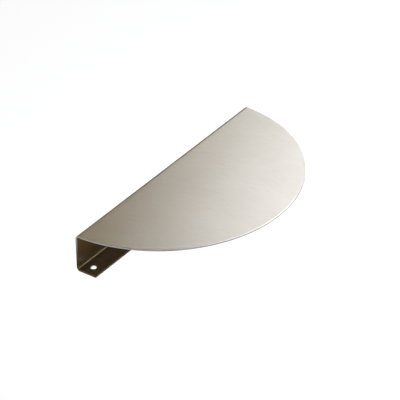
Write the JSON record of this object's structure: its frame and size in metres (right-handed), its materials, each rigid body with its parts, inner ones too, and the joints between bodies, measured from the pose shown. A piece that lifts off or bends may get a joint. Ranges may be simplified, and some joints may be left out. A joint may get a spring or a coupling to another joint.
{
  "type": "tab pull",
  "caption": "Half-moon tab pull folded from brushed sheet metal: a half-disc leaf to grip, an upright web and a screw flange that fixes behind a door's edge.",
  "frame": {"origin": "midway between the two screw holes, on the inner face of the flange, which seats on the back of the door", "axes": "+X along the straight edge; -Y towards the front of the half-moon leaf, so the web is at +Y; +Z from the flange towards the leaf"},
  "size_m": [0.2, 0.1, 0.0292],
  "materials": {
    "brushed_metal": "satin stainless steel, finely brushed at right angles to the straight edge, cut edges bright"
  },
  "bodies": {
    "root": {"half_moon_pull": "brushed_metal"}
  },
  "joints": []
}
